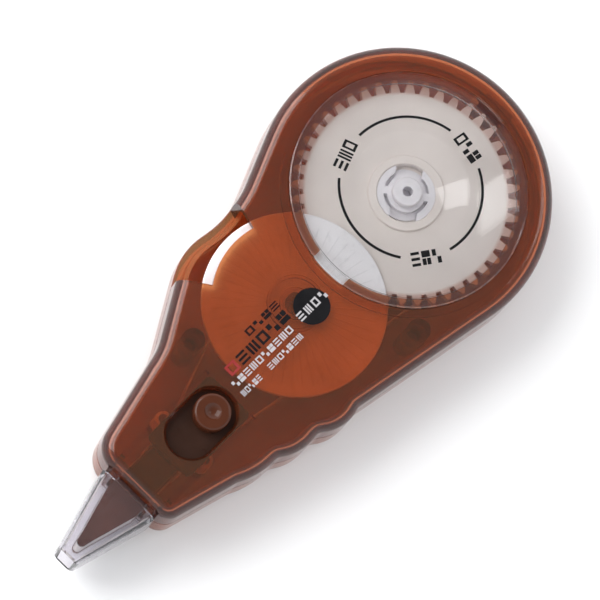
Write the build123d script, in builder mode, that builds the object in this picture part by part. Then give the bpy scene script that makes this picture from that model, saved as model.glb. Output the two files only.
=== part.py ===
from build123d import *
import os
from math import acos, atan2, cos, hypot, pi, radians, sin, tan

# Pocket correction tape roller, lying on its rear shell. Millimetres.
# +X runs from the applicator tip to the round head, +Y to the side with the thumb
# cut-out, +Z up through the window. The origin is under the middle of the whole roller.

os.makedirs("parts", exist_ok=True)

# ---------------------------------------------------------------- driving dimensions
# Whole roller
overall_length = 124.3
body_length = 107.2
body_height = 16.0
head_radius = 28.45
wall = 1.6
skin = 1.4
edge_round = 2.8
seam_bevel = 0.2
nose_y = -3.3
slot_y = -3.6

# Gear train between the spools
gear_module = 0.95
supply_teeth = 44
take_up_teeth = 22
pressure_angle = radians(20)
backlash = 0.10
gear_thickness = 1.6
web_thickness = 1.0
spool_y = -0.2
supply_offset = 0.15

# Tape and spools
tape_width = 5.0
tape_thickness = 0.15
roll_radius = 17.6
winding_radius = 11.0
supply_drum_radius = 8.6
take_up_drum_radius = 7.9
flange_radius = 17.8
flange_thickness = 0.8
supply_post_radius = 2.5
take_up_post_radius = 2.0
clutch_radius = 5.65
clutch_ring_radius = 7.4

# Window
lens_radius = 23.0
ledge_width = 2.1
ledge_radius = lens_radius - ledge_width
lens_rim_proud = 0.2
lens_seat_depth = 1.4
ledge_thickness = 0.8
lens_thickness = 1.0
lens_crown = 1.45
bubble_radius = 11.4
bubble_rise = 1.25
lug_half_angle = 9.0

# Slider, applicator and nose guard
slider_travel = 5.8
button_radius = 3.6
slot_radius = 4.65
button_setback = 20.7
tip_setback = 3.05
tip_radius = 0.9
tip_hole_radius = 1.2
guard_wall = 0.8
guard_gap = 1.0
guard_base_width = 13.3
guard_base_height = 11.2
guard_end_width = 4.7
guard_end_height = 8.4
guard_bevel = 1.0
shoulder_lead = 2.45
roller_setback = 14.45
roller_radius = 1.5
roller_pin_radius = 0.8

# Fits
running_fit = 0.05
seat_fit = 0.15
seam_gap = 0.06
lens_gap = 0.05
free_gap = 0.3
contact_gap = 0.1
winding_gap = 0.2

# ---------------------------------------------------------------- places worked out
head_x = overall_length / 2 - head_radius
front_x = overall_length / 2 - body_length
nose_end_x = -overall_length / 2
supply_x = head_x + supply_offset
spool_spacing = gear_module * (supply_teeth + take_up_teeth) / 2
take_up_x = supply_x - spool_spacing
spool_reach = max(flange_radius, roll_radius + winding_gap)

parting_z = body_height / 2
roof_z = body_height - skin
rim_z = body_height + lens_rim_proud
ledge_top = rim_z - lens_seat_depth
ledge_bottom = ledge_top - ledge_thickness
flange_top = ledge_bottom - free_gap
flange_bottom = flange_top - flange_thickness
gear_top = flange_bottom - free_gap
gear_bottom = gear_top - gear_thickness
tape_top = gear_bottom - 0.6
tape_bottom = tape_top - tape_width
spool_base = tape_bottom - 1.0

# Applicator levels: two cheeks either side of the tape
cheek = 0.7
cheek_gap = 0.1
tip_bottom = tape_bottom - cheek_gap - cheek
tip_top = tape_top + cheek_gap + cheek
tongue_top = tip_top + 0.7
tip_middle_z = (tip_bottom + tip_top) / 2
tip_x = nose_end_x + tip_setback
shoulder_x = front_x - shoulder_lead
stem_half = 3.4
cheek_half = 3.75

# Tape lanes beside the applicator stem, measured out from the nose centre line
loop_lane = stem_half + contact_gap + tape_thickness / 2
run_lane = loop_lane + tape_thickness + contact_gap
roller_lane = run_lane + tape_thickness / 2 + contact_gap + roller_radius
roller_x = front_x + roller_setback

button_x = front_x + button_setback
slot_mid_x = button_x - slider_travel / 2
plate_half = slot_radius + 0.75
plate_rear_x = button_x + slot_radius + 0.7
plate_front_x = front_x + wall + 1.25 + free_gap + slider_travel
plate_bottom = roof_z - 1.8
plate_top = roof_z - 0.4


def tangent_point(centre, radius, point, side):
    """Where the line from point touches the circle, on the given side."""
    dx, dy = point[0] - centre[0], point[1] - centre[1]
    angle = atan2(dy, dx) + side * acos(radius / hypot(dx, dy))
    return centre[0] + radius * cos(angle), centre[1] + radius * sin(angle)


def crossed_tangent(centre_a, radius_a, centre_b, radius_b, side):
    """Ends of the straight that leaves circle a and lands on the far side of circle b."""
    dx, dy = centre_b[0] - centre_a[0], centre_b[1] - centre_a[1]
    angle = atan2(dy, dx) + side * acos((radius_a + radius_b) / hypot(dx, dy))
    start = (centre_a[0] + radius_a * cos(angle), centre_a[1] + radius_a * sin(angle))
    end = (centre_b[0] - radius_b * cos(angle), centre_b[1] - radius_b * sin(angle))
    return start, end


def gear_outline(teeth, first_angle):
    """Corner points of a spur gear, with involute flanks in short straights."""
    pitch = gear_module * teeth / 2
    base = pitch * cos(pressure_angle)
    root = pitch - 1.25 * gear_module
    tip = pitch + gear_module
    start = max(base, root)
    radii = [start + (tip - start) * k / 3 for k in range(4)]
    half_pitch = (pi * gear_module / 2 - backlash) / 2 / pitch
    involute_at_pitch = tan(pressure_angle) - pressure_angle
    flank = []
    for radius in radii:
        spread = acos(min(1.0, base / radius))
        flank.append((radius, half_pitch + involute_at_pitch - (tan(spread) - spread)))
    if root < start:
        flank.insert(0, (root, flank[0][1]))
    points = []
    for tooth in range(teeth):
        middle = first_angle + 2 * pi * tooth / teeth
        points += [(r * cos(middle - a), r * sin(middle - a)) for r, a in flank]
        points += [(r * cos(middle + a), r * sin(middle + a)) for r, a in reversed(flank)]
    return points


# ---------------------------------------------------------------- body outline
head = (head_x, 0)
valley = (take_up_x + 5.2, spool_y + spool_reach + 2.65)
shoulder = (take_up_x - 6.4, spool_y + spool_reach + 4.65)
waist = (take_up_x - 24.6, nose_y + 15.35)
front_left = (front_x, nose_y + 10.15)
front_right = (front_x, nose_y - 8.65)
grip_count = 3
grip_depths = (0.6, 1.05, 1.3)
grip_front = (take_up_x - 32.2, nose_y - 12.8)
grip_rear = (take_up_x - 5.5, spool_y - spool_reach - 4.2)
thumb_tangent = tangent_point(head, head_radius, valley, -1)
grip_tangent = tangent_point(head, head_radius, grip_rear, 1)


def grip_point(step):
    """Foot of the finger grip's lobes, counted from the front."""
    share = step / grip_count
    return (
        grip_front[0] + (grip_rear[0] - grip_front[0]) * share,
        grip_front[1] + (grip_rear[1] - grip_front[1]) * share,
    )


grip_feet = [grip_point(step) for step in range(grip_count + 1)]
corner_rounds = [(valley, 20), (shoulder, 14), (waist, 14), (front_left, 5.5), (front_right, 3.4)]
corner_rounds += [(foot, 2.4) for foot in grip_feet]

with BuildSketch() as outline:
    with BuildLine():
        Polyline(thumb_tangent, valley, shoulder, waist, front_left, front_right, grip_front)
        for foot, next_foot, depth in zip(grip_feet, grip_feet[1:], grip_depths):
            SagittaArc(foot, next_foot, -depth)
        Line(grip_rear, grip_tangent)
        ThreePointArc(grip_tangent, (head_x + head_radius, 0), thumb_tangent)
    make_face()
    for corner, radius in corner_rounds:
        fillet(outline.vertices().sort_by_distance(Vector(*corner))[0], radius)

with BuildSketch() as cavity_outline:
    offset(outline.sketch, amount=-wall)

with BuildSketch() as lip_outline:
    offset(outline.sketch, amount=-(wall + contact_gap))
    offset(outline.sketch, amount=-(wall + contact_gap + 0.9), mode=Mode.SUBTRACT)

# ---------------------------------------------------------------- shared shell features
thumb_radius = flange_radius - 1.65
thumb_from = radians(74)
thumb_to = radians(124.5)
thumb_reach = head_radius * 1.6

with BuildSketch() as thumb_sector:
    with BuildLine(Plane.XY):
        Polyline(
            (take_up_x, spool_y),
            (take_up_x + thumb_reach * cos(thumb_from), spool_y + thumb_reach * sin(thumb_from)),
            (take_up_x + thumb_reach * cos(thumb_to), spool_y + thumb_reach * sin(thumb_to)),
            close=True,
        )
    make_face()
    with Locations((take_up_x, spool_y)):
        Circle(thumb_radius, mode=Mode.SUBTRACT)

collar_width = 2 * (loop_lane + 1.0)
collar_height = tongue_top + 0.5 - (tip_bottom - 0.5)
collar_z = (tongue_top + tip_bottom) / 2
mouth_width = collar_width + 2 * guard_wall + 2 * seat_fit
mouth_height = collar_height + 2 * guard_wall + 2 * seat_fit
boss_places = [
    (take_up_x + 13.2, spool_y - spool_reach - 2.1),
    (take_up_x - spool_reach - 1.2, spool_y + 8.7),
]
boss_radius = 2.2
dowel_radius = 1.2
lug_width = 2 * ledge_radius * sin(radians(lug_half_angle))
notch_width = 2 * ledge_radius * sin(radians(lug_half_angle + 1.5))

# ---------------------------------------------------------------- front shell
with BuildPart() as front_shell:
    with BuildSketch(Plane.XY.offset(parting_z + seam_gap)):
        add(outline.sketch)
    extrude(amount=body_height - parting_z - seam_gap)
    fillet(front_shell.faces().sort_by(Axis.Z)[-1].edges(), edge_round)
    chamfer(front_shell.faces().sort_by(Axis.Z)[0].edges(), seam_bevel)
    with BuildSketch(Plane.XY.offset(parting_z)):
        add(cavity_outline.sketch)
    extrude(amount=roof_z - parting_z, mode=Mode.SUBTRACT)
    roof_edges = front_shell.edges().filter_by_position(Axis.Z, roof_z - 0.01, roof_z + 0.01)
    fillet(roof_edges, wall * 0.75)
    # Seat for the window: a collar under the roof with an inward ledge.
    with BuildSketch(Plane.XY.offset(ledge_bottom)):
        with Locations((supply_x, spool_y)):
            Circle(lens_radius + seat_fit + skin)
    extrude(amount=roof_z - ledge_bottom)
    with BuildSketch(Plane.XY.offset(ledge_top)):
        with Locations((supply_x, spool_y)):
            Circle(lens_radius + seat_fit)
    extrude(amount=body_height, mode=Mode.SUBTRACT)
    with BuildSketch(Plane.XY.offset(ledge_bottom)):
        with Locations((supply_x, spool_y)):
            Circle(ledge_radius)
    extrude(amount=body_height, mode=Mode.SUBTRACT)
    with BuildSketch(Plane.XY.offset(ledge_bottom)):
        with Locations((supply_x, spool_y)):
            Circle(lens_radius + seat_fit)
            Rectangle(3 * lens_radius, notch_width, mode=Mode.INTERSECT)
    extrude(amount=body_height, mode=Mode.SUBTRACT)
    # Slot for the slider button, with a bevelled edge.
    with BuildSketch(Plane.XY.offset(roof_z)):
        with Locations((slot_mid_x, slot_y)):
            SlotCenterToCenter(slider_travel, 2 * slot_radius)
    extrude(amount=skin, mode=Mode.SUBTRACT)
    slot_edges = front_shell.edges().filter_by_position(Axis.Z, body_height - 0.01, body_height + 0.01)
    slot_reach = slot_radius + slider_travel
    slot_edges = slot_edges.filter_by_position(Axis.X, slot_mid_x - slot_reach, slot_mid_x + slot_reach)
    slot_half = slot_radius + 0.1
    slot_edges = slot_edges.filter_by_position(Axis.Y, slot_y - slot_half, slot_y + slot_half)
    chamfer(slot_edges, 0.5)
    # Rails beside the slider plate.
    rail_x = (plate_rear_x + plate_front_x - slider_travel) / 2
    with BuildSketch(Plane.XY.offset(plate_bottom)):
        for side in (-1, 1):
            with Locations((rail_x, slot_y + side * (plate_half + seat_fit + 0.5))):
                Rectangle(plate_rear_x - plate_front_x + slider_travel, 1.0)
    extrude(amount=roof_z - plate_bottom)
    # Ring and socket under the roof that hold the take-up post.
    with BuildSketch(Plane.XY.offset(flange_top + free_gap)):
        with Locations((take_up_x, spool_y)):
            Circle(take_up_post_radius + 3.5)
            Circle(take_up_post_radius + 2.9, mode=Mode.SUBTRACT)
            Circle(take_up_post_radius + 1.1)
            Circle(take_up_post_radius + contact_gap, mode=Mode.SUBTRACT)
    extrude(amount=roof_z - flange_top - free_gap)
    # Bosses that end in dowels for the rear shell's sockets.
    with BuildSketch(Plane.XY.offset(parting_z + contact_gap)):
        with Locations(*boss_places):
            Circle(boss_radius)
    extrude(amount=roof_z - parting_z - contact_gap)
    with BuildSketch(Plane.XY.offset(parting_z - 2.5)):
        with Locations(*boss_places):
            Circle(dowel_radius)
    extrude(amount=2.5 + contact_gap)
    # Thumb cut-out over the take-up flange.
    with BuildSketch(Plane.XY.offset(parting_z)):
        add(thumb_sector.sketch)
    extrude(amount=body_height, mode=Mode.SUBTRACT)
    # Upper half of the mouth that holds the nose guard's neck.
    with BuildSketch(Plane.YZ.offset(front_x - 1)):
        with Locations((nose_y, collar_z)):
            Rectangle(mouth_width, mouth_height)
    extrude(amount=wall + 2, mode=Mode.SUBTRACT)
front_shell.part.label = "front_shell"
export_step(front_shell.part, "parts/front_shell.step")

# ---------------------------------------------------------------- rear shell
socket_depth = 5.0
snap_thickness = 1.6
gear_reach = gear_module * (supply_teeth / 2 + 1)
snap_x = supply_x + max(lens_radius + 1.7, gear_reach + free_gap + snap_thickness / 2)
with BuildPart() as rear_shell:
    with BuildSketch(Plane.XY):
        add(outline.sketch)
    extrude(amount=parting_z)
    fillet(rear_shell.faces().sort_by(Axis.Z)[0].edges(), edge_round)
    chamfer(rear_shell.faces().sort_by(Axis.Z)[-1].edges(), seam_bevel)
    with BuildSketch(Plane.XY.offset(skin)):
        add(cavity_outline.sketch)
    extrude(amount=parting_z, mode=Mode.SUBTRACT)
    floor_edges = rear_shell.edges().filter_by_position(Axis.Z, skin - 0.01, skin + 0.01)
    fillet(floor_edges, wall * 0.75)
    # Locating lip inside the front shell's wall.
    with BuildSketch(Plane.XY.offset(parting_z - 1.2)):
        add(lip_outline.sketch)
    extrude(amount=2.2)
    with BuildSketch(Plane.XY.offset(parting_z - 1.2)):
        offset(outline.sketch, amount=-wall * 0.9)
        offset(outline.sketch, amount=-(wall + contact_gap + 0.9), mode=Mode.SUBTRACT)
    extrude(amount=1.1)
    # Spool posts, each on a low step that carries its spool.
    with BuildSketch(Plane.XY.offset(skin)):
        with Locations((supply_x, spool_y)):
            Circle(supply_post_radius + 1.6)
        with Locations((take_up_x, spool_y)):
            Circle(take_up_post_radius + 1.6)
    extrude(amount=spool_base - contact_gap - skin)
    with BuildSketch(Plane.XY.offset(skin)):
        with Locations((supply_x, spool_y)):
            Circle(supply_post_radius)
    extrude(amount=flange_bottom + 0.2 - skin)
    with BuildSketch(Plane.XY.offset(flange_bottom + 0.2 - socket_depth)):
        with Locations((supply_x, spool_y)):
            Circle(supply_post_radius - 0.9)
    extrude(amount=socket_depth, mode=Mode.SUBTRACT)
    with BuildSketch(Plane.XY.offset(skin)):
        with Locations((take_up_x, spool_y)):
            Circle(take_up_post_radius)
    extrude(amount=roof_z - contact_gap - skin)
    # Pins for the two tape guide rollers.
    roller_places = [(roller_x, nose_y - roller_lane), (roller_x, nose_y + roller_lane)]
    with BuildSketch(Plane.XY.offset(skin)):
        with Locations(*roller_places):
            Circle(roller_radius)
    extrude(amount=tape_bottom - 0.4 - skin)
    with BuildSketch(Plane.XY.offset(skin)):
        with Locations(*roller_places):
            Circle(roller_pin_radius)
    extrude(amount=tape_top + 0.5 - skin)
    # Sockets for the front shell's dowels.
    with BuildSketch(Plane.XY.offset(skin)):
        with Locations(*boss_places):
            Circle(boss_radius)
    extrude(amount=parting_z - contact_gap - skin)
    with BuildSketch(Plane.XY.offset(parting_z - 4.0)):
        with Locations(*boss_places):
            Circle(dowel_radius + running_fit)
    extrude(amount=4.0, mode=Mode.SUBTRACT)
    # Snap post behind the window's far lug.
    with BuildSketch(Plane.XY.offset(skin)):
        with Locations((snap_x, spool_y - 0.8)):
            Rectangle(snap_thickness, 6.6)
    extrude(amount=ledge_bottom - free_gap - skin)
    # Lower half of the mouth that holds the nose guard's neck.
    with BuildSketch(Plane.YZ.offset(front_x - 1)):
        with Locations((nose_y, collar_z)):
            Rectangle(mouth_width, mouth_height)
    extrude(amount=wall + 2, mode=Mode.SUBTRACT)
    with BuildSketch(Plane.YZ.offset(front_x + wall)):
        with Locations((nose_y, collar_z)):
            Rectangle(mouth_width + 2.4, mouth_height + 2.0)
    extrude(amount=1.6, mode=Mode.SUBTRACT)
rear_shell.part.label = "rear_shell"
export_step(rear_shell.part, "parts/rear_shell.step")

# ---------------------------------------------------------------- window lens
bubble_z = rim_z + lens_crown
foot_radius = ledge_radius - contact_gap
lens_foot = ledge_top + lens_gap
rim_bevel = 0.25
supply_plane = Plane((supply_x, spool_y, 0))
supply_axis = Axis((supply_x, spool_y, 0), (0, 0, 1))
lens_section = Plane(origin=(supply_x, spool_y, 0), x_dir=(1, 0, 0), z_dir=(0, -1, 0))


def dome_middle(edge_radius, edge_z, rise):
    """Point half-way in on a ball-shaped cap that stands on a circle."""
    ball = (edge_radius**2 + rise**2) / (2 * rise)
    half = edge_radius / 2
    return half, edge_z + rise - ball + (ball**2 - half**2) ** 0.5


with BuildPart() as window_lens:
    with BuildSketch(lens_section):
        with BuildLine():
            rim_land = Polyline(
                (foot_radius, lens_foot),
                (lens_radius, lens_foot),
                (lens_radius, rim_z - rim_bevel),
                (lens_radius - rim_bevel, rim_z),
                (lens_radius - 1.6, rim_z),
            )
            crown = SagittaArc(rim_land @ 1, (bubble_radius, bubble_z), -0.25)
            bubble = ThreePointArc(
                crown @ 1, dome_middle(bubble_radius, bubble_z, bubble_rise), (0, bubble_z + bubble_rise)
            )
            inner_z = bubble_z - lens_thickness
            inner_bubble = ThreePointArc(
                (0, inner_z + bubble_rise),
                dome_middle(bubble_radius - 0.3, inner_z, bubble_rise),
                (bubble_radius - 0.3, inner_z),
            )
            Line(bubble @ 1, inner_bubble @ 0)
            inner_crown = SagittaArc(inner_bubble @ 1, (foot_radius, rim_z - lens_thickness), 0.25)
            Line(inner_crown @ 1, rim_land @ 0)
        make_face()
    revolve(axis=supply_axis)
    with BuildSketch(supply_plane.offset(ledge_bottom)):
        Circle(lens_radius - contact_gap)
        Circle(ledge_radius + contact_gap, mode=Mode.SUBTRACT)
        Rectangle(3 * lens_radius, lug_width, mode=Mode.INTERSECT)
    extrude(amount=ledge_thickness + lens_gap)
window_lens.part.label = "window_lens"
export_step(window_lens.part, "parts/window_lens.step")

# ---------------------------------------------------------------- nose guard
guard_base_x = front_x - guard_gap
with BuildPart() as nose_guard:
    with BuildSketch(Plane.YZ.offset(guard_base_x)) as guard_base:
        with Locations((nose_y, collar_z)):
            Rectangle(guard_base_width, guard_base_height)
        chamfer(guard_base.vertices(), guard_bevel)
    with BuildSketch(Plane.YZ.offset(nose_end_x)) as guard_end:
        with Locations((nose_y, tip_middle_z)):
            Rectangle(guard_end_width, guard_end_height)
        chamfer(guard_end.vertices(), guard_bevel)
    loft()
    chamfer(nose_guard.faces().sort_by(Axis.X)[0].edges(), 0.3)
    # Neck through the body's front wall and the flange behind it.
    with BuildSketch(Plane.YZ.offset(guard_base_x)):
        with Locations((nose_y, collar_z)):
            Rectangle(collar_width + 2 * guard_wall, collar_height + 2 * guard_wall)
    extrude(amount=guard_gap + wall + 0.2)
    with BuildSketch(Plane.YZ.offset(front_x + wall + 0.15)):
        with Locations((nose_y, collar_z)):
            Rectangle(mouth_width + 1.4, mouth_height + 1.2)
    extrude(amount=0.9)
    # Hollow for the applicator, open at both ends.
    with BuildSketch(Plane.YZ.offset(guard_base_x + 0.3)):
        with Locations((nose_y, collar_z)):
            Rectangle(guard_base_width - 2 * guard_wall, guard_base_height - 2 * guard_wall)
    with BuildSketch(Plane.YZ.offset(nose_end_x - 0.01)):
        with Locations((nose_y, tip_middle_z)):
            Rectangle(guard_end_width - 1.5, guard_end_height - 1.2)
    loft(mode=Mode.SUBTRACT)
    with BuildSketch(Plane.YZ.offset(guard_base_x)):
        with Locations((nose_y, collar_z)):
            Rectangle(collar_width, collar_height)
    extrude(amount=guard_gap + wall + 3, mode=Mode.SUBTRACT)
nose_guard.part.label = "nose_guard"
export_step(nose_guard.part, "parts/nose_guard.step")

# ---------------------------------------------------------------- supply side
with BuildPart() as supply_gear:
    with BuildSketch(supply_plane.offset(gear_bottom)):
        with BuildLine():
            Polyline(*gear_outline(supply_teeth, 0), close=True)
        make_face()
        Circle(clutch_ring_radius - 0.5, mode=Mode.SUBTRACT)
    extrude(amount=gear_thickness)
    with BuildSketch(supply_plane.offset(gear_bottom)):
        Circle(gear_module * supply_teeth / 2 - 3.2)
        Circle(clutch_ring_radius, mode=Mode.SUBTRACT)
    extrude(amount=gear_thickness - web_thickness, mode=Mode.SUBTRACT)
    with BuildSketch(supply_plane.offset(gear_bottom - 0.1)):
        Circle(clutch_ring_radius)
        Circle(clutch_radius - 0.6, mode=Mode.SUBTRACT)
    extrude(amount=gear_thickness + 0.6)
    with BuildSketch(supply_plane.offset(gear_bottom + 0.3)):
        Circle(clutch_radius)
    extrude(amount=gear_thickness + 1, mode=Mode.SUBTRACT)
    ring_top = supply_gear.edges().filter_by(GeomType.CIRCLE).group_by(Axis.Z)[-1]
    chamfer(ring_top, 0.2)
supply_gear.part.label = "supply_gear"
export_step(supply_gear.part, "parts/supply_gear.step")

sleeve_radius = supply_post_radius + running_fit + 0.55
core_web_top = gear_bottom - 0.4
boss_top = gear_bottom + 0.5
with BuildPart() as supply_core:
    with BuildSketch(supply_plane.offset(spool_base)):
        Circle(supply_drum_radius + 5.4)
    extrude(amount=0.8)
    with BuildSketch(supply_plane.offset(spool_base)):
        Circle(supply_drum_radius)
    extrude(amount=core_web_top - spool_base)
    with BuildSketch(supply_plane.offset(spool_base)):
        Circle(supply_drum_radius - 1.2)
        Circle(sleeve_radius, mode=Mode.SUBTRACT)
    extrude(amount=core_web_top - spool_base - 1.2, mode=Mode.SUBTRACT)
    with BuildSketch(supply_plane.offset(core_web_top)):
        Circle(clutch_radius - 0.6 - running_fit)
    extrude(amount=boss_top - core_web_top)
    with BuildSketch(supply_plane.offset(boss_top)):
        Circle(sleeve_radius)
    extrude(amount=flange_bottom + 0.1 - boss_top)
    with BuildSketch(supply_plane.offset(spool_base)):
        Circle(supply_post_radius + running_fit)
    extrude(amount=body_height, mode=Mode.SUBTRACT)
supply_core.part.label = "supply_core"
export_step(supply_core.part, "parts/supply_core.step")

shoe_span = 124
shoe_thickness = 1.25
shoe_radius = clutch_radius - running_fit
with BuildPart() as clutch_spring:
    with BuildSketch(supply_plane.offset(boss_top)):
        Circle(shoe_radius)
        Circle(shoe_radius - shoe_thickness, mode=Mode.SUBTRACT)
        with Locations(Rotation(0, 0, 35)):
            Rectangle(3 * shoe_radius, 2 * shoe_radius * cos(radians(shoe_span / 2)), mode=Mode.SUBTRACT)
        Circle(sleeve_radius + 0.55)
        with Locations(Rotation(0, 0, 35)):
            Rectangle(1.5, 2 * shoe_radius - shoe_thickness)
        Circle(sleeve_radius, mode=Mode.SUBTRACT)
    extrude(amount=flange_bottom - boss_top)
clutch_spring.part.label = "clutch_spring"
export_step(clutch_spring.part, "parts/clutch_spring.step")

with BuildPart() as correction_tape_roll:
    with BuildSketch(supply_plane.offset(tape_bottom)):
        Circle(roll_radius)
        Circle(supply_drum_radius, mode=Mode.SUBTRACT)
    extrude(amount=tape_width)
    chamfer(correction_tape_roll.edges().filter_by(GeomType.CIRCLE).sort_by(SortBy.RADIUS)[-2:], 0.1)
correction_tape_roll.part.label = "correction_tape_roll"
export_step(correction_tape_roll.part, "parts/correction_tape_roll.step")

cap_bottom = flange_bottom + 0.2
cap_radius = supply_post_radius + 0.35
with BuildPart() as hub_cap:
    with BuildSketch(supply_plane.offset(cap_bottom)):
        Circle(cap_radius)
    extrude(amount=1.3)
    fillet(hub_cap.faces().sort_by(Axis.Z)[-1].edges(), 0.35)
    with BuildSketch(supply_plane.offset(cap_bottom - socket_depth + 0.4)):
        Circle(supply_post_radius - 0.9)
    extrude(amount=socket_depth - 0.4)
    with BuildSketch(supply_plane.offset(cap_bottom - 1.5)):
        Circle(1.0)
    extrude(amount=4, mode=Mode.SUBTRACT)
hub_cap.part.label = "hub_cap"
export_step(hub_cap.part, "parts/hub_cap.step")

# ---------------------------------------------------------------- take-up side
take_up_plane = Plane((take_up_x, spool_y, 0))
take_up_bore = take_up_post_radius + running_fit
flange_hub_radius = 5.45
with BuildPart() as take_up_flange:
    with BuildSketch(take_up_plane.offset(flange_bottom)):
        Circle(flange_radius)
    extrude(amount=flange_thickness)
    fillet(take_up_flange.faces().sort_by(Axis.Z)[-1].edges(), 0.25)
    with BuildSketch(take_up_plane.offset(gear_top)):
        Circle(flange_hub_radius)
    extrude(amount=free_gap)
    with BuildSketch(take_up_plane.offset(gear_top)):
        Circle(take_up_bore)
    extrude(amount=body_height, mode=Mode.SUBTRACT)
take_up_flange.part.label = "take_up_flange"
export_step(take_up_flange.part, "parts/take_up_flange.step")

with BuildPart() as take_up_pinion:
    with BuildSketch(take_up_plane.offset(gear_bottom)):
        with BuildLine():
            Polyline(*gear_outline(take_up_teeth, pi / take_up_teeth), close=True)
        make_face()
        Circle(take_up_bore, mode=Mode.SUBTRACT)
    extrude(amount=gear_thickness)
    with BuildSketch(take_up_plane.offset(gear_top - 0.5)):
        Circle(gear_module * take_up_teeth / 2 - 2.4)
        Circle(flange_hub_radius, mode=Mode.SUBTRACT)
    extrude(amount=0.5, mode=Mode.SUBTRACT)
take_up_pinion.part.label = "take_up_pinion"
export_step(take_up_pinion.part, "parts/take_up_pinion.step")

with BuildPart() as take_up_core:
    with BuildSketch(take_up_plane.offset(spool_base)):
        Circle(winding_radius + 1.0)
    extrude(amount=0.8)
    with BuildSketch(take_up_plane.offset(spool_base)):
        Circle(take_up_drum_radius)
    extrude(amount=gear_bottom - spool_base)
    with BuildSketch(take_up_plane.offset(spool_base)):
        Circle(take_up_drum_radius - 1.2)
        Circle(take_up_bore + 1.2, mode=Mode.SUBTRACT)
    extrude(amount=gear_bottom - spool_base - 1.2, mode=Mode.SUBTRACT)
    with BuildSketch(take_up_plane.offset(spool_base)):
        Circle(take_up_bore)
    extrude(amount=body_height, mode=Mode.SUBTRACT)
take_up_core.part.label = "take_up_core"
export_step(take_up_core.part, "parts/take_up_core.step")

with BuildPart() as take_up_winding:
    with BuildSketch(take_up_plane.offset(tape_bottom)):
        Circle(winding_radius)
        Circle(take_up_drum_radius, mode=Mode.SUBTRACT)
    extrude(amount=tape_width)
take_up_winding.part.label = "take_up_winding"
export_step(take_up_winding.part, "parts/take_up_winding.step")

# ---------------------------------------------------------------- slider and applicator
pin_x = front_x + 2.95
stem_rear_x = plate_front_x + 3.8
with BuildPart() as tip_carriage:
    with BuildSketch(Plane.XY.offset(plate_bottom)):
        with Locations(((plate_front_x + plate_rear_x) / 2, slot_y)):
            RectangleRounded(plate_rear_x - plate_front_x, 2 * plate_half, 1.2)
    extrude(amount=plate_top - plate_bottom)
    with BuildSketch(Plane.XY.offset(tongue_top - 0.1)):
        with Locations(((plate_front_x + stem_rear_x) / 2, nose_y)):
            Rectangle(stem_rear_x - plate_front_x, 6.0)
    extrude(amount=plate_bottom - tongue_top + 0.1)
    with BuildSketch(Plane.XY.offset(tip_top)):
        with Locations(((pin_x - 2.5 + stem_rear_x) / 2, nose_y)):
            Rectangle(stem_rear_x - pin_x + 2.5, 6.0)
    extrude(amount=tongue_top - tip_top)
    with BuildSketch(Plane.XY.offset(tip_top)):
        with Locations((pin_x, nose_y)):
            Circle(tip_hole_radius)
    extrude(amount=tongue_top - tip_top, mode=Mode.SUBTRACT)
    with BuildSketch(Plane.XY.offset(plate_bottom)):
        with Locations((button_x, slot_y)):
            Circle(1.4)
    extrude(amount=plate_top - plate_bottom, mode=Mode.SUBTRACT)
tip_carriage.part.label = "tip_carriage"
export_step(tip_carriage.part, "parts/tip_carriage.step")

button_top = body_height + 0.9
button_plane = Plane((button_x, slot_y, 0))
with BuildPart() as slider_button:
    with BuildSketch(button_plane.offset(plate_top)):
        Circle(button_radius)
    extrude(amount=button_top - plate_top)
    fillet(slider_button.faces().sort_by(Axis.Z)[-1].edges(), 0.7)
    with Locations((button_x, slot_y, button_top + 1.6)):
        Sphere(2.3, mode=Mode.SUBTRACT)
    with BuildSketch(button_plane.offset(plate_bottom)):
        Circle(1.4)
    extrude(amount=plate_top - plate_bottom)
slider_button.part.label = "slider_button"
export_step(slider_button.part, "parts/slider_button.step")


def applicator_half(inset, rear_x):
    """Half outline of the applicator from its rounded end to its rear, drawn inset."""
    return [
        (tip_x + tip_radius, tip_radius - inset),
        (tip_x + 2.75, tip_radius + 0.43 - inset),
        (shoulder_x, cheek_half - inset),
        (rear_x, cheek_half - inset),
    ]


def mirrored(points):
    """The same points on the other side of the centre line."""
    return [(x, -y) for x, y in points]


with BuildSketch() as blade_outline:
    with BuildLine():
        blade_inset = cheek_half - stem_half
        blade_half = applicator_half(blade_inset, stem_rear_x)
        upper = Polyline(*blade_half)
        lower = Polyline(*mirrored(blade_half))
        Line(upper @ 1, lower @ 1)
        ThreePointArc(upper @ 0, (tip_x + blade_inset, 0), lower @ 0)
    make_face()

with BuildSketch() as cheek_outline:
    with BuildLine():
        side_half = applicator_half(0, shoulder_x + 2.0)
        upper = Polyline(*side_half)
        lower = Polyline(*mirrored(side_half))
        Line(upper @ 1, lower @ 1)
        ThreePointArc(upper @ 0, (tip_x, 0), lower @ 0)
    make_face()

nose_plane = Plane((0, nose_y, 0))
with BuildPart() as applicator_tip:
    with BuildSketch(nose_plane.offset(tip_bottom)):
        add(blade_outline.sketch)
    extrude(amount=tip_top - tip_bottom)
    for level in (tip_bottom, tip_top - cheek):
        with BuildSketch(nose_plane.offset(level)):
            add(cheek_outline.sketch)
        extrude(amount=cheek)
    with BuildSketch(nose_plane.offset(tip_bottom + 1)):
        with Locations((pin_x, 0)):
            Circle(tip_hole_radius)
    extrude(amount=tip_top, mode=Mode.SUBTRACT)
applicator_tip.part.label = "applicator_tip"
export_step(applicator_tip.part, "parts/applicator_tip.step")

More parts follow.
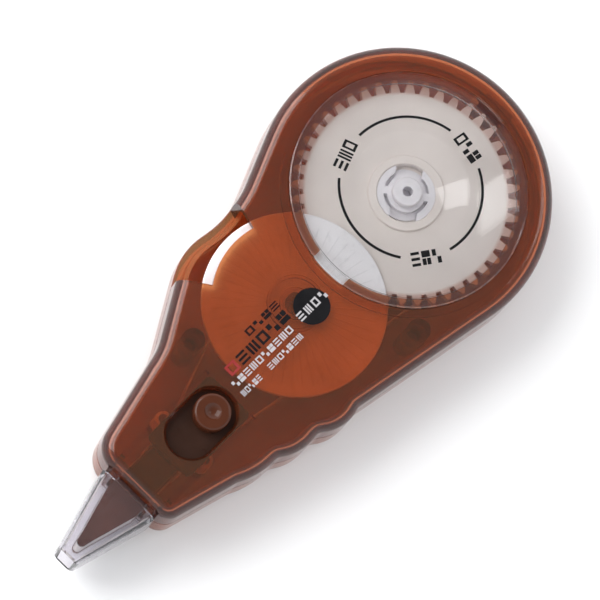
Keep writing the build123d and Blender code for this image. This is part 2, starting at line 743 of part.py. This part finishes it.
with BuildPart() as applicator_pin:
    with BuildSketch(nose_plane.offset(tip_bottom + 1)):
        with Locations((pin_x, 0)):
            Circle(tip_hole_radius)
    extrude(amount=tongue_top - tip_bottom - 1)
    with BuildSketch(nose_plane.offset(tongue_top)):
        with Locations((pin_x, 0)):
            Circle(1.9)
    extrude(amount=0.3)
applicator_pin.part.label = "applicator_pin"
export_step(applicator_pin.part, "parts/applicator_pin.step")

# ---------------------------------------------------------------- guide rollers and tape
for roller_name, side in (("feed_guide_roller", -1), ("return_guide_roller", 1)):
    with BuildPart(nose_plane.offset(tape_bottom - 0.2)) as guide_roller:
        with Locations((roller_x, side * roller_lane)):
            Cylinder(roller_radius, tape_width + 0.4, align=(Align.CENTER, Align.CENTER, Align.MIN))
            Hole(roller_pin_radius + running_fit)
    guide_roller.part.label = roller_name
    export_step(guide_roller.part, f"parts/{roller_name}.step")

tail_x = roller_x - slider_travel - 0.4
wrap_radius = roller_radius + contact_gap + tape_thickness / 2
for run_name, spool, wound_radius, side in (
    ("feed_tape_run", supply_x, roll_radius, -1),
    ("return_tape_run", take_up_x, winding_radius, 1),
):
    roller = (roller_x, nose_y + side * roller_lane)
    clear_radius = wound_radius + winding_gap + tape_thickness / 2
    leave, land = crossed_tangent((spool, spool_y), clear_radius, roller, wrap_radius, -side)
    lane_y = nose_y + side * run_lane
    with BuildPart() as tape_run:
        with BuildSketch(Plane.XY.offset(tape_bottom)):
            with BuildLine():
                straight = Line(leave, land)
                bend = TangentArc(land, (roller_x, lane_y), tangent=straight % 1)
                Line(bend @ 1, (tail_x, lane_y))
            trace(line_width=tape_thickness)
        extrude(amount=tape_width)
    tape_run.part.label = run_name
    export_step(tape_run.part, f"parts/{run_name}.step")

with BuildPart() as applicator_tape_loop:
    with BuildSketch(nose_plane.offset(tape_bottom)):
        offset(blade_outline.sketch, amount=contact_gap + tape_thickness)
        offset(blade_outline.sketch, amount=contact_gap, mode=Mode.SUBTRACT)
        with Locations((stem_rear_x + 1.0, 0)):
            Rectangle(3.2, 12, mode=Mode.SUBTRACT)
    extrude(amount=tape_width)
applicator_tape_loop.part.label = "applicator_tape_loop"
export_step(applicator_tape_loop.part, "parts/applicator_tape_loop.step")
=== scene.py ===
from math import cos, pi, radians, sin, tau

import bmesh
import bpy
from mathutils import Matrix, Vector
from mathutils.bvhtree import BVHTree


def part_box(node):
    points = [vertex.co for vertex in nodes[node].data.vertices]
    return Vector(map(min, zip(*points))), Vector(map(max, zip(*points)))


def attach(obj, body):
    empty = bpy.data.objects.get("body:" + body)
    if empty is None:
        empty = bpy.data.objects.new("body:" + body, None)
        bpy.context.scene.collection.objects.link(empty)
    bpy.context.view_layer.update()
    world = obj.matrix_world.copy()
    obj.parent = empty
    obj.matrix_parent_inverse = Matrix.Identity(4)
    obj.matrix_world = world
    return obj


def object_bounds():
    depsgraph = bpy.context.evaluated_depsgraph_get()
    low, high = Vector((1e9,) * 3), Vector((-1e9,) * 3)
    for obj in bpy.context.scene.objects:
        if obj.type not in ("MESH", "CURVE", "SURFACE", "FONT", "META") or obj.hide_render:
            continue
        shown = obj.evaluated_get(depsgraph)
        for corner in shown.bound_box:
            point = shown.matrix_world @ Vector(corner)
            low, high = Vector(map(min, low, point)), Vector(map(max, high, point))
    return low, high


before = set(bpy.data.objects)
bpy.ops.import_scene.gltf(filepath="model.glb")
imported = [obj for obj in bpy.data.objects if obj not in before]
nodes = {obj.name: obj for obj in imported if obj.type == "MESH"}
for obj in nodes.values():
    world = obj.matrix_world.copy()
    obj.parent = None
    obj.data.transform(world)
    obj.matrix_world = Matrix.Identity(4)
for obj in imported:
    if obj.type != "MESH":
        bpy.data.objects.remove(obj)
cad_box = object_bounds()
MM = 0.001

# ------------------------------------------------------------------ places read from the frame
box_middle = (cad_box[0] + cad_box[1]) / 2


def middle(node):
    """Centre of a CAD node's box."""
    low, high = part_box(node)
    return (low + high) / 2


supply = middle("supply_gear")
take_up = middle("take_up_flange")

# ------------------------------------------------------------------ camera
CAMERA_LEAN = radians(17.5)      # away from straight overhead
CAMERA_HEADING = radians(6)      # where it leans to: from -X towards -Y
LONG_AXIS_RISE = radians(45)     # how steeply the roller lies across the picture
CAMERA_DISTANCE = 1.2
FRAME_WIDTH = 112.59 * MM
AIM_RIGHT = 3.64 * MM
AIM_UP = 3.45 * MM


def make_camera():
    """Long lens at the photo's angle, framed as the photo is."""
    back = Vector((
        -cos(CAMERA_HEADING) * sin(CAMERA_LEAN),
        -sin(CAMERA_HEADING) * sin(CAMERA_LEAN),
        cos(CAMERA_LEAN),
    ))
    along = Vector((1, 0, 0))
    along = (along - back * along.dot(back)).normalized()
    across = back.cross(along)
    right = cos(LONG_AXIS_RISE) * along - sin(LONG_AXIS_RISE) * across
    up = sin(LONG_AXIS_RISE) * along + cos(LONG_AXIS_RISE) * across
    data = bpy.data.cameras.new("camera")
    data.sensor_width = 36
    data.lens = data.sensor_width * CAMERA_DISTANCE / FRAME_WIDTH
    data.clip_start, data.clip_end = 0.1, 10
    camera = bpy.data.objects.new("camera", data)
    camera.matrix_world = Matrix((right, up, back)).transposed().to_4x4()
    camera.location = box_middle + right * AIM_RIGHT + up * AIM_UP + back * CAMERA_DISTANCE
    bpy.context.scene.collection.objects.link(camera)
    bpy.context.scene.camera = camera


# ------------------------------------------------------------------ node tree helpers
def new_material(name):
    """A new material, its node tree and that tree's Principled shader."""
    made = bpy.data.materials.new(name)
    made.use_nodes = True
    tree = made.node_tree
    return made, tree, tree.nodes["Principled BSDF"]


def add_node(tree, kind, inputs=None, **settings):
    """A node with its settings and its inputs, each a value or another node's output."""
    node = tree.nodes.new(kind)
    for key, value in settings.items():
        setattr(node, key, value)
    for key, value in (inputs or {}).items():
        if isinstance(value, bpy.types.NodeSocket):
            tree.links.new(value, node.inputs[key])
        else:
            node.inputs[key].default_value = value
    return node


def place(tree):
    """Coordinates in the part's own frame, in metres."""
    return add_node(tree, "ShaderNodeTexCoord").outputs["Object"]


def noise(tree, size, detail=3.0):
    """Noise from 0 to 1 whose blotches are about size metres across."""
    return add_node(
        tree, "ShaderNodeTexNoise",
        {"Vector": place(tree), "Scale": 1 / size, "Detail": detail, "Roughness": 0.55},
    ).outputs["Fac"]


def spread(tree, value, low, high, start=0.3, end=0.7):
    """Value from start..end stretched to low..high."""
    return add_node(
        tree, "ShaderNodeMapRange",
        {"Value": value, "From Min": start, "From Max": end, "To Min": low, "To Max": high},
    ).outputs["Result"]


def two_tone(tree, share, dark, light):
    """Colour between dark and light."""
    mix = add_node(tree, "ShaderNodeMix", data_type="RGBA")
    tree.links.new(share, mix.inputs["Factor"])
    mix.inputs["A"].default_value = (*dark, 1)
    mix.inputs["B"].default_value = (*light, 1)
    return mix.outputs["Result"]


def maths(tree, operation, a, b=0.0):
    """Result of one sum on values or other nodes' outputs."""
    node = add_node(tree, "ShaderNodeMath", {0: a, 1: b}, operation=operation)
    return node.outputs[0]


def bump(tree, height, depth, normal=None):
    """Normal from a 0..1 height that stands for depth metres."""
    inputs = {"Height": height, "Strength": 1.0, "Distance": depth}
    if normal is not None:
        inputs["Normal"] = normal
    return add_node(tree, "ShaderNodeBump", inputs).outputs["Normal"]


def about(tree, centre):
    """Distance from an upright axis and the angle round it."""
    moved = add_node(
        tree, "ShaderNodeVectorMath", {0: place(tree), 1: centre}, operation="SUBTRACT"
    ).outputs["Vector"]
    parts = add_node(tree, "ShaderNodeSeparateXYZ", {0: moved})
    x, y = parts.outputs["X"], parts.outputs["Y"]
    squares = maths(tree, "ADD", maths(tree, "MULTIPLY", x, x), maths(tree, "MULTIPLY", y, y))
    return maths(tree, "SQRT", squares), maths(tree, "ARCTAN2", y, x)


# ------------------------------------------------------------------ materials
PLASTIC_IOR = 1.5
CLEAR_IOR = 1.46
MOULDED_GRAIN = 0.35 * MM
MOULDED_BLOTCH = 9 * MM
CLEAR_BLOTCH = 14 * MM
CLEAR_GLOSS_BLOTCH = 2.5 * MM
FLOW_MARKS = 5 * MM


def moulded(name, dark, light, roughness, relief=0.004 * MM, shine=0.5):
    """Opaque moulded plastic: two close tones, a fine grain and uneven gloss."""
    made, tree, shader = new_material(name)
    tone = spread(tree, noise(tree, MOULDED_BLOTCH, 4), 0, 1)
    tree.links.new(two_tone(tree, tone, dark, light), shader.inputs["Base Color"])
    patches = noise(tree, MOULDED_BLOTCH / 4, 5)
    gloss = spread(tree, patches, roughness * 0.75, roughness * 1.3)
    tree.links.new(gloss, shader.inputs["Roughness"])
    tree.links.new(bump(tree, noise(tree, MOULDED_GRAIN, 4), relief), shader.inputs["Normal"])
    shader.inputs["IOR"].default_value = PLASTIC_IOR
    shader.inputs["Specular IOR Level"].default_value = shine
    return made


def clear(name, dark, light, roughness, through, absorb=None, relief=0.002 * MM, shine=0.5):
    """Clear or tinted plastic: uneven gloss, faint flow marks and, where it is thick, depth."""
    made, tree, shader = new_material(name)
    tone = spread(tree, noise(tree, CLEAR_BLOTCH), 0, 1)
    tree.links.new(two_tone(tree, tone, dark, light), shader.inputs["Base Color"])
    patches = noise(tree, CLEAR_GLOSS_BLOTCH, 5)
    gloss = spread(tree, patches, roughness * 0.6, roughness * 1.4)
    tree.links.new(gloss, shader.inputs["Roughness"])
    tree.links.new(bump(tree, noise(tree, FLOW_MARKS), relief), shader.inputs["Normal"])
    shader.inputs["Transmission Weight"].default_value = through
    shader.inputs["IOR"].default_value = CLEAR_IOR
    shader.inputs["Specular IOR Level"].default_value = shine
    if absorb is not None:
        colour, density = absorb
        depth = add_node(
            tree, "ShaderNodeVolumeAbsorption", {"Color": (*colour, 1), "Density": density}
        )
        tree.links.new(depth.outputs[0], tree.nodes["Material Output"].inputs["Volume"])
    return made


# Colour and density of the light lost inside the shells' walls.
DEPTH_TINT = ((0.88, 0.50, 0.25), 400)
# Painted shade: a shell's colour is multiplied by this on its rounded edges and sides, darkening
# them with a grey-purple cast.
EDGE_SHADE_TINT = (0.50, 0.42, 0.55)
FRONT_SHELL = clear(
    "smoked_brown_front", (0.69, 0.315, 0.122), (0.77, 0.36, 0.152), 0.11, 0.96,
    absorb=DEPTH_TINT, shine=0.35,
)
# Painted light: the rear shell is the front's smoked plastic made lighter and more diffuse, to
# lift the body's inside.
REAR_SHELL = clear(
    "smoked_brown_rear", (0.93, 0.40, 0.160), (0.98, 0.45, 0.190), 0.11, 0.78,
    absorb=DEPTH_TINT, shine=0.35,
)


def parts_of(made):
    """A material's node tree and its Principled shader."""
    return made.node_tree, made.node_tree.nodes["Principled BSDF"]


def driving(shader, name):
    """The output that already feeds one of a shader's inputs."""
    return shader.inputs[name].links[0].from_socket


def tint_where(made, share, tint):
    """Multiplies a material's colour by tint as share goes from 0 to 1."""
    tree, shader = parts_of(made)
    mix = add_node(tree, "ShaderNodeMix", data_type="RGBA", blend_type="MULTIPLY")
    tree.links.new(share, mix.inputs["Factor"])
    tree.links.new(driving(shader, "Base Color"), mix.inputs["A"])
    mix.inputs["B"].default_value = (*tint, 1)
    tree.links.new(mix.outputs["Result"], shader.inputs["Base Color"])


def off_level(tree):
    """0 where the surface is level, 1 where it has turned well away from level."""
    normal = add_node(tree, "ShaderNodeTexCoord").outputs["Normal"]
    upright = add_node(tree, "ShaderNodeSeparateXYZ", {0: normal}).outputs["Z"]
    return spread(tree, maths(tree, "ABSOLUTE", upright), 1, 0, 0.80, 0.995)


# Painted shade on the shells' rounded edges and sides, where the surface turns away from level.
for shell in (FRONT_SHELL, REAR_SHELL):
    tint_where(shell, off_level(shell.node_tree), EDGE_SHADE_TINT)

SMOOTH = 0.001 * MM  # relief of a polished face or a layer of ink
LENS = clear(
    "clear_lens", (0.96, 0.955, 0.95), (0.985, 0.98, 0.975), 0.03, 1.0, relief=SMOOTH
)
GUARD = clear(
    "clear_guard", (0.78, 0.76, 0.80), (0.86, 0.84, 0.88), 0.10, 0.99, shine=0.3
)
WHITE = moulded("white_plastic", (0.78, 0.76, 0.80), (0.85, 0.83, 0.87), 0.35)
LINER = moulded("liner_paper", (0.62, 0.56, 0.48), (0.70, 0.64, 0.56), 0.5)
DARK = moulded(
    "dark_brown_plastic", (0.026, 0.011, 0.007), (0.038, 0.016, 0.010), 0.35, shine=0.12
)
BUTTON = moulded(
    "brown_button", (0.058, 0.0155, 0.006), (0.078, 0.021, 0.009), 0.16, shine=0.25
)
TIP = moulded(
    "brown_applicator", (0.115, 0.036, 0.022), (0.165, 0.054, 0.034), 0.3, shine=0.3
)
INK_BLACK = moulded(
    "print_black", (0.004, 0.004, 0.005), (0.008, 0.007, 0.008), 0.4, SMOOTH, shine=0.15
)
INK_WHITE = moulded("print_white", (0.38, 0.36, 0.37), (0.46, 0.44, 0.45), 0.4, SMOOTH)
INK_RED = moulded("print_red", (0.22, 0.012, 0.010), (0.27, 0.018, 0.014), 0.4, SMOOTH)


def ringed(name, centre, dark, light, roughness, pitch, relief):
    """Moulded plastic or wound tape with fine rings round an upright axis."""
    made = moulded(name, dark, light, roughness)
    tree, shader = parts_of(made)
    radius = about(tree, centre)[0]
    ripple = maths(tree, "SINE", maths(tree, "MULTIPLY", radius, tau / pitch))
    wobble = maths(tree, "ADD", ripple, maths(tree, "MULTIPLY", noise(tree, 1.5 * MM), 1.5))
    height = spread(tree, wobble, 0, 1, -1, 2.5)
    rings = bump(tree, height, relief, driving(shader, "Normal"))
    tree.links.new(rings, shader.inputs["Normal"])
    return made


TOOTH_TINT = (0.80, 0.62, 0.57)
TEETH_FROM, TEETH_FULL = 19.2 * MM, 19.9 * MM  # where the teeth's tint starts and is whole
FLANGE_RIBS = 48
RIBS_TO, RIBS_GONE = 15.5 * MM, 16.3 * MM      # where the flange's ribs start and end fading
RIB_SHADE = 0.09                               # how much darker the flange is on its ribs


def make_cream():
    """Cream plastic with turning rings, tinted on the teeth."""
    made = ringed(
        "cream_gear", supply, (0.77, 0.705, 0.67), (0.83, 0.765, 0.73), 0.4,
        3.1 * MM, 0.012 * MM,
    )
    tree = made.node_tree
    radius = about(tree, supply)[0]
    tint_where(made, spread(tree, radius, 0, 1, TEETH_FROM, TEETH_FULL), TOOTH_TINT)
    return made


def make_flange_white():
    """Milky plastic with thin ribs that run out from the hub to a plain rim."""
    made = moulded("milky_flange", (0.86, 0.85, 0.88), (0.92, 0.91, 0.94), 0.3)
    tree, shader = parts_of(made)
    radius, angle = about(tree, take_up)
    turn = maths(tree, "FRACT", maths(tree, "DIVIDE", angle, tau / FLANGE_RIBS))
    off_middle = maths(tree, "ABSOLUTE", maths(tree, "SUBTRACT", turn, 0.5))
    ridge = maths(tree, "SUBTRACT", 1.0, off_middle)
    rib = spread(tree, ridge, 0, 1, 0.90, 0.99)
    ribbed = maths(tree, "MULTIPLY", rib, spread(tree, radius, 1, 0, RIBS_TO, RIBS_GONE))
    tone = two_tone(tree, ribbed, (0.0, 0.0, 0.0), (1.0, 1.0, 1.0))
    darker = add_node(tree, "ShaderNodeMix", data_type="RGBA", blend_type="MULTIPLY")
    darker.inputs["Factor"].default_value = RIB_SHADE
    tree.links.new(driving(shader, "Base Color"), darker.inputs["A"])
    flipped = add_node(tree, "ShaderNodeInvert", {"Color": tone})
    tree.links.new(flipped.outputs[0], darker.inputs["B"])
    tree.links.new(darker.outputs["Result"], shader.inputs["Base Color"])
    ribs = bump(tree, ribbed, 0.03 * MM, driving(shader, "Normal"))
    tree.links.new(ribs, shader.inputs["Normal"])
    return made


CREAM = make_cream()
TAPE = ringed(
    "tape_paper", supply, (0.70, 0.66, 0.62), (0.79, 0.76, 0.73), 0.6, 0.31 * MM, 0.02 * MM
)
FLANGE = make_flange_white()

FINISHES = {
    "front_shell": FRONT_SHELL,
    "rear_shell": REAR_SHELL,
    "window_lens": LENS,
    "nose_guard": GUARD,
    "supply_gear": CREAM,
    "supply_core": WHITE,
    "clutch_spring": WHITE,
    "correction_tape_roll": TAPE,
    "hub_cap": WHITE,
    "take_up_flange": FLANGE,
    "take_up_pinion": WHITE,
    "take_up_core": WHITE,
    "take_up_winding": LINER,
    "tip_carriage": DARK,
    "slider_button": BUTTON,
    "applicator_tip": TIP,
    "applicator_pin": DARK,
    "feed_guide_roller": WHITE,
    "return_guide_roller": WHITE,
    "feed_tape_run": TAPE,
    "return_tape_run": LINER,
    "applicator_tape_loop": TAPE,
}
for node, finish in FINISHES.items():
    slots = nodes[node].data.materials
    slots.clear()
    slots.append(finish)


# ------------------------------------------------------------------ light and floor
FLOOR_GAP = 0.05 * MM  # keeps the floor clear of the rear shell, so both surfaces show
FLOOR_HALF = 3.0
FLOOR_SHADE = 0.94


def make_floor():
    mesh = bpy.data.meshes.new("floor")
    corners = [(-1, -1), (1, -1), (1, 1), (-1, 1)]
    places = [(x * FLOOR_HALF, y * FLOOR_HALF, -FLOOR_GAP) for x, y in corners]
    mesh.from_pydata(places, [], [(0, 1, 2, 3)])
    floor = bpy.data.objects.new("floor", mesh)
    made, _, shader = new_material("floor")
    shader.inputs["Base Color"].default_value = (FLOOR_SHADE, FLOOR_SHADE, FLOOR_SHADE, 1)
    shader.inputs["Roughness"].default_value = 0.9
    mesh.materials.append(made)
    bpy.context.scene.collection.objects.link(floor)


def soft_box(name, place_at, width, height, power):
    """Rectangular lamp aimed at the middle of the roller; its sides are in metres."""
    data = bpy.data.lights.new(name, "AREA")
    data.shape = "RECTANGLE"
    data.size, data.size_y = width, height
    data.energy = power
    lamp = bpy.data.objects.new(name, data)
    lamp.location = place_at
    lamp.rotation_mode = "QUATERNION"
    lamp.rotation_quaternion = (box_middle - Vector(place_at)).to_track_quat("-Z", "Y")
    bpy.context.scene.collection.objects.link(lamp)


WALLS = 1.38    # brightness of the studio round the roller
CEILING = 0.40  # brightness straight above it
WALLS_TO, CEILING_FROM = 0.55, 0.92  # upward parts of a direction where one changes to the other


def make_light():
    world = bpy.data.worlds.new("studio")
    world.use_nodes = True
    tree = world.node_tree
    background = tree.nodes["Background"]
    background.inputs["Color"].default_value = (0.97, 0.98, 1.0, 1)
    direction = add_node(tree, "ShaderNodeTexCoord").outputs["Generated"]
    height = add_node(tree, "ShaderNodeSeparateXYZ", {0: direction}).outputs["Z"]
    strength = spread(tree, height, WALLS, CEILING, WALLS_TO, CEILING_FROM)
    tree.links.new(strength, background.inputs["Strength"])
    bpy.context.scene.world = world
    soft_box("left_box", (-0.10, 0.55, 0.50), width=0.75, height=0.55, power=5.5)
    soft_box("right_box", (0.454, -0.184, 0.70), width=0.14, height=0.22, power=0.28)


# ------------------------------------------------------------------ printed marks
INK_LIFT = 0.01 * MM
INK_THICKNESS = 0.03 * MM
ABOVE = 0.01                 # height over the roller that the ink is dropped from, in metres
ARC_STEP = radians(2)
DISC_ROWS = 28
DISC_REACH = 0.998           # keeps a disc's first and last rows from closing to a point
node_trees = {}


def surface_height(node, x, y):
    """Height of the top of a CAD node over a point, in metres."""
    if node not in node_trees:
        mesh = nodes[node].data
        polygons = [tuple(face.vertices) for face in mesh.polygons]
        node_trees[node] = BVHTree.FromPolygons([v.co for v in mesh.vertices], polygons)
    start = Vector((x, y, cad_box[1].z + ABOVE))
    return node_trees[node].ray_cast(start, Vector((0, 0, -1)))[0].z


def border(grid):
    """A grid's outer corners, in order round it."""
    right = [row[-1] for row in grid[1:-1]]
    left = [row[0] for row in grid[-2:0:-1]]
    return grid[0] + right + grid[-1][::-1] + left


def print_marks(name, node, patches, ink, lift=INK_LIFT):
    """Thin closed layers of ink on a node's top; each patch is a grid of (x, y) rows in metres."""
    built = bmesh.new()
    for rows in patches:
        top, bottom = [], []
        for row in rows:
            spots = [(x, y, surface_height(node, x, y) + lift) for x, y in row]
            bottom.append([built.verts.new(spot) for spot in spots])
            top.append([built.verts.new((x, y, z + INK_THICKNESS)) for x, y, z in spots])
        for grid in (top, bottom):
            for near, far in zip(grid, grid[1:]):
                for k in range(len(near) - 1):
                    built.faces.new((near[k], near[k + 1], far[k + 1], far[k]))
        upper, lower = border(top), border(bottom)
        for k in range(len(upper)):
            built.faces.new((upper[k - 1], upper[k], lower[k], lower[k - 1]))
    bmesh.ops.recalc_face_normals(built, faces=built.faces)
    mesh = bpy.data.meshes.new(name)
    built.to_mesh(mesh)
    built.free()
    mesh.materials.append(ink)
    piece = bpy.data.objects.new(name, mesh)
    bpy.context.scene.collection.objects.link(piece)
    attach(piece, "root")


def block(x0, x1, y0, y1, turn, about_point, steps):
    """Grid over a rectangle, turned about the origin and then moved to about_point."""
    rows = []
    for j in range(steps + 1):
        y = y0 + (y1 - y0) * j / steps
        row = []
        for k in range(steps + 1):
            x = x0 + (x1 - x0) * k / steps
            row.append((
                about_point[0] + x * cos(turn) - y * sin(turn),
                about_point[1] + x * sin(turn) + y * cos(turn),
            ))
        rows.append(row)
    return rows


def arc_band(centre, inner, outer, start, end):
    """Grid over part of a ring, with a column about every ARC_STEP."""
    columns = max(2, int(abs(end - start) / ARC_STEP))
    angles = [start + (end - start) * k / columns for k in range(columns + 1)]
    return [
        [(centre[0] + r * cos(a), centre[1] + r * sin(a)) for a in angles]
        for r in (inner, outer)
    ]


def disc(centre, radius):
    """Grid over a disc, in rows of chords."""
    grid = []
    for j in range(DISC_ROWS + 1):
        lean = pi * (j / DISC_ROWS - 0.5) * DISC_REACH
        half = radius * cos(lean)
        y = centre[1] + radius * sin(lean)
        grid.append([(centre[0] + half * side, y) for side in (-1, -0.5, 0, 0.5, 1)])
    return grid


# Made-up marks on a unit square, each a few strokes (x0, x1, y0, y1): a frame, level bars,
# two checks, upright bars, and a bar with two checks.
MARKS = (
    ((0, 1, 0, 0.20), (0, 1, 0.80, 1), (0, 0.24, 0.20, 0.80), (0.76, 1, 0.20, 0.80)),
    ((0, 1, 0.80, 1), (0, 1, 0.40, 0.60), (0, 1, 0, 0.20)),
    ((0, 0.46, 0.54, 1), (0.54, 1, 0, 0.46)),
    ((0, 0.24, 0, 1), (0.38, 0.62, 0, 1), (0.76, 1, 0, 1)),
    ((0, 1, 0, 0.46), (0, 0.46, 0.54, 1), (0.54, 1, 0.54, 1)),
)
MARK_GAP = 0.22  # share of the pitch left free between two marks


def mark_row(
    x0, x1, y0, y1, count, first=0, gap=MARK_GAP, turn=0.0, about_point=(0.0, 0.0)
):
    """Strokes of a row of made-up marks in a box, whose sides are in millimetres."""
    steps = 1 if turn == 0 else 3
    pitch = (x1 - x0) / (count - gap)
    patches = []
    for k in range(count):
        for left, right, low, high in MARKS[(first + 2 * k) % len(MARKS)]:
            start = x0 + k * pitch
            width = pitch * (1 - gap)
            patches.append(block(
                (start + left * width) * MM, (start + right * width) * MM,
                (y0 + (y1 - y0) * low) * MM, (y0 + (y1 - y0) * high) * MM,
                turn, about_point, steps,
            ))
    return patches


DIAL_RADIUS = 13.8 * MM
DIAL_STROKE = 0.26 * MM                                  # half the width of the arcs
DIAL_ARCS = ((9.5, 89.0), (128.5, 215.0), (256.0, 332.0))  # start and end, in degrees
DIAL_GROUPS = (-9.5, 109.0, 235.5)                       # where the groups of marks stand
DIAL_MARKS = (-2.9, 2.9, 12.4, 15.1)                     # box of a group, out from the middle
DIAL_MARK_GAP = 0.2

# Rows of the label: left, right, bottom, top, how many marks and which comes first.
BLACK_ROWS = ((-8.8, -0.3, 1.5, 2.9, 4, 0), (-13.6, -0.5, -1.5, 0.7, 5, 1))
RED_ROWS = ((-16.7, -14.2, -1.5, 0.7, 1, 0),)
WHITE_ROWS = (
    (-17.8, -1.9, -3.6, -2.2, 10, 2),
    (-17.8, -12.8, -5.8, -4.6, 5, 3),
    (-10.5, -1.5, -5.8, -4.6, 7, 1),
)
DOT_ROWS = ((0.4, 7.7, -3.5, -1.8, 4, 1, 0.3),)          # with their own gap
DOT = (3.95 * MM, -2.75 * MM)
DOT_RADIUS = 3.55 * MM


def make_dial():
    """Ring in three arcs on the window, with a group of marks in each gap."""
    patches = [
        arc_band(
            supply, DIAL_RADIUS - DIAL_STROKE, DIAL_RADIUS + DIAL_STROKE,
            radians(start), radians(end),
        )
        for start, end in DIAL_ARCS
    ]
    for k, at in enumerate(DIAL_GROUPS):
        turn = radians(at) - pi / 2
        patches += mark_row(*DIAL_MARKS, 3, k, DIAL_MARK_GAP, turn, (supply.x, supply.y))
    print_marks("dial_print", "window_lens", patches, INK_BLACK)


def rows_of(rows):
    """Strokes of several rows of marks."""
    return [patch for row in rows for patch in mark_row(*row)]


def make_label():
    """Rows of made-up marks and a dot between the window and the slider."""
    black = rows_of(BLACK_ROWS) + [disc(DOT, DOT_RADIUS)]
    print_marks("label_black", "front_shell", black, INK_BLACK)
    print_marks("label_red", "front_shell", rows_of(RED_ROWS), INK_RED)
    print_marks("label_white", "front_shell", rows_of(WHITE_ROWS), INK_WHITE)
    over_dot = 2 * INK_LIFT + INK_THICKNESS
    print_marks("label_dot_marks", "front_shell", rows_of(DOT_ROWS), INK_WHITE, over_dot)


make_dial()
make_label()
make_camera()
make_floor()
make_light()
bpy.context.scene.view_settings.view_transform = "Standard"
